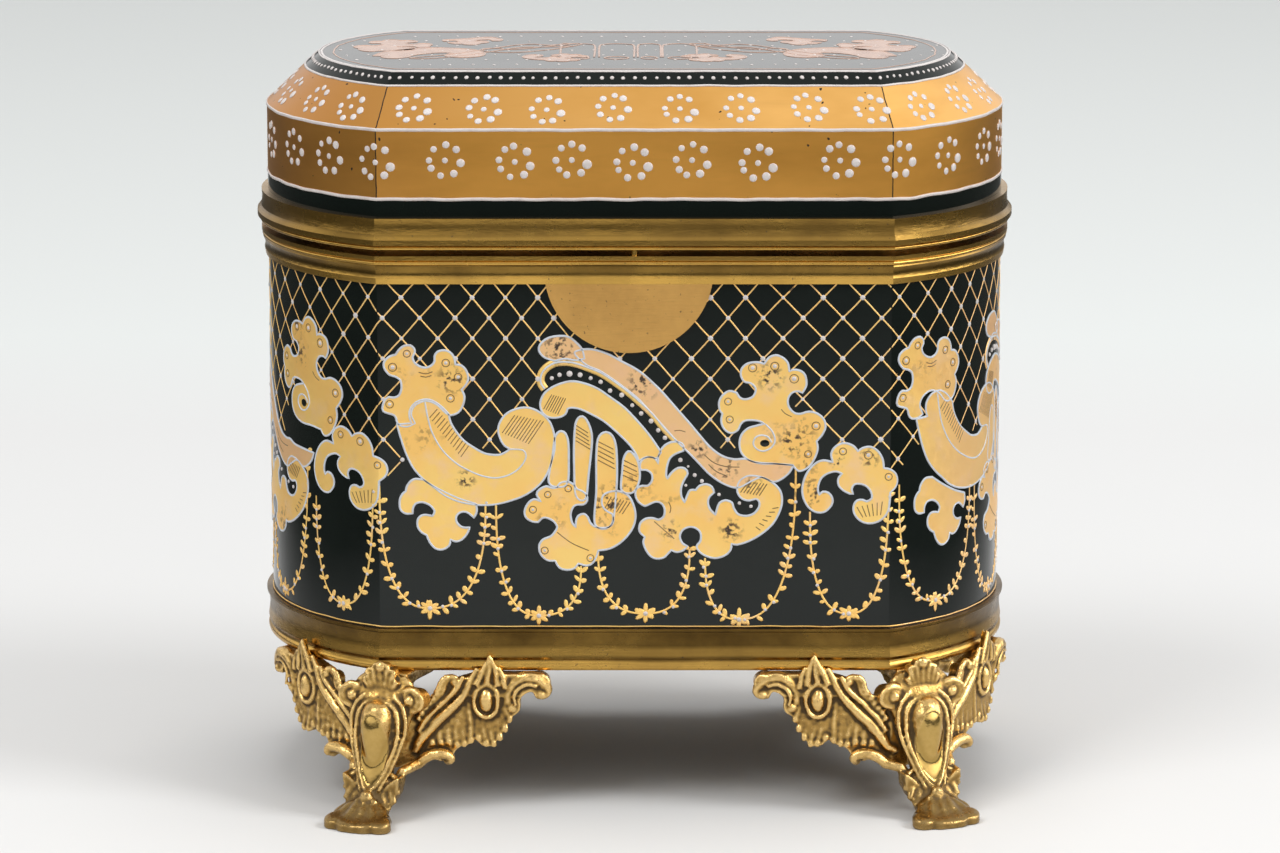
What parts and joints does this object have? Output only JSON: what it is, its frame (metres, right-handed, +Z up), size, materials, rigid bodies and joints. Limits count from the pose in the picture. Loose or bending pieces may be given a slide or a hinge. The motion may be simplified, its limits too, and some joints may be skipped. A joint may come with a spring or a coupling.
{
  "type": "footed casket",
  "caption": "Footed keepsake casket: dark enamelled glass body and hinged glass lid with bow ends, in moulded gilt bronze rims on cast rocaille feet.",
  "frame": {"origin": "on the floor under the middle of the casket", "axes": "+X along the casket's length to its right end, -Y towards its front, +Z up"},
  "size_m": [0.14, 0.1072, 0.1351],
  "materials": {
    "body_glass": "near-black green glass, polished, painted with gilt scrolls, lattice and white enamel",
    "lid_glass": "near-black green glass, satin copper-gold belt and bevel with white enamel rosettes",
    "gilt_bronze": "pressed mouldings, worn satin gilding with brighter edges",
    "cast_bronze": "cast and chased ornament, darker in its hollows",
    "plain_bronze": "plain sheet and wire, dull",
    "plaster": "plaster bedding, matt",
    "steel_screws": "small round-headed screws, dull"
  },
  "bodies": {
    "case": {"base_band": "gilt_bronze", "base_ledge": "plain_bronze", "base_plaster": "plaster", "body_rim": "gilt_bronze", "body_rim_collar": "plain_bronze", "body_rim_plaster": "plaster", "foot_back_left": "cast_bronze", "foot_back_right": "cast_bronze", "foot_front_left": "cast_bronze", "foot_front_right": "cast_bronze", "foot_screws": "steel_screws", "front_plate": "gilt_bronze", "glass_body": "body_glass", "hinge_leaf_case": "plain_bronze", "hinge_pin": "plain_bronze", "rest_stud": "gilt_bronze"},
    "lid": {"glass_lid": "lid_glass", "hinge_leaf_lid": "plain_bronze", "lid_rim": "gilt_bronze", "lid_rim_collar": "plain_bronze", "lid_rim_plaster": "plaster"}
  },
  "joints": [
    {"name": "lid_hinge", "type": "hinge", "parent": "case", "child": "lid", "pos_m": [0, 0.0403, 0.10375], "axis": [-1, 0, 0], "range_deg": [0, 100]}
  ]
}
